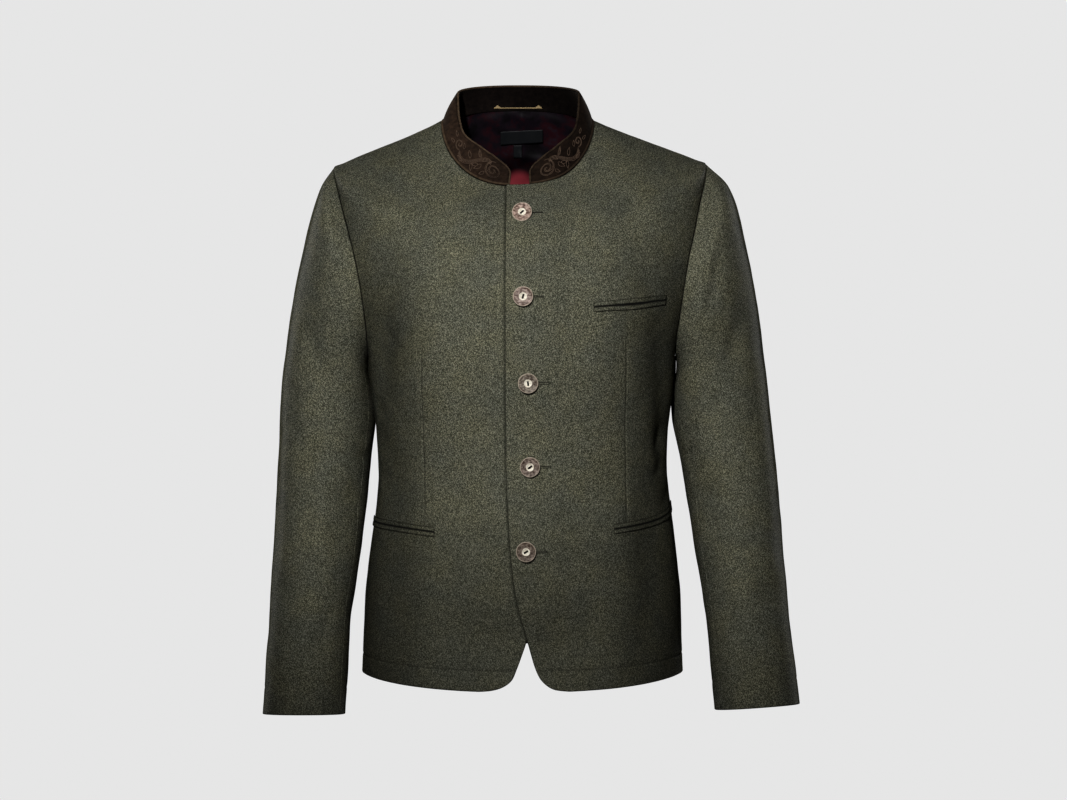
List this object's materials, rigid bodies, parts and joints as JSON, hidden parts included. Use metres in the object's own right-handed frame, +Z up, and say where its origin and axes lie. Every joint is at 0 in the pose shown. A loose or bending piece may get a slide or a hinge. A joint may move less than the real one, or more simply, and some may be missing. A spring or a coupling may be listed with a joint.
{
  "type": "stand-collar folk jacket",
  "caption": "Wool jacket in European folk style with a suede stand collar, round horn buttons and jetted pockets, in its worn hollow shape.",
  "frame": {"origin": "midway between the two points where neck and shoulder meet, where a wearer's shoulders hold the jacket", "axes": "+Z up, -Y to the front, +X to the wearer's left"},
  "size_m": [0.6534, 0.2723, 0.7764],
  "materials": {
    "wool": "matte milled wool, grey-green melange",
    "suede": "brown suede with tone-on-tone scroll embroidery",
    "piping": "lighter brown suede piping",
    "satin": "plum changeant lining satin",
    "tape": "dark woven tape, bare",
    "gold_cord": "gold cord",
    "horn": "polished horn"
  },
  "bodies": {
    "root": {"front_left": "wool", "front_right": "wool", "back_left": "wool", "back_right": "wool", "top_sleeve_left": "wool", "top_sleeve_right": "wool", "under_sleeve_left": "wool", "under_sleeve_right": "wool", "chest_pocket_jet_upper": "wool", "chest_pocket_jet_lower": "wool", "left_pocket_jet_upper": "wool", "left_pocket_jet_lower": "wool", "right_pocket_jet_upper": "wool", "right_pocket_jet_lower": "wool", "collar": "suede", "collar_inner": "suede", "collar_piping": "piping", "back_neck_lining": "satin", "neck_label": "tape", "size_tab": "tape", "hanger_loop": "gold_cord", "button_1": "horn", "button_2": "horn", "button_3": "horn", "button_4": "horn", "button_5": "horn"}
  },
  "joints": []
}
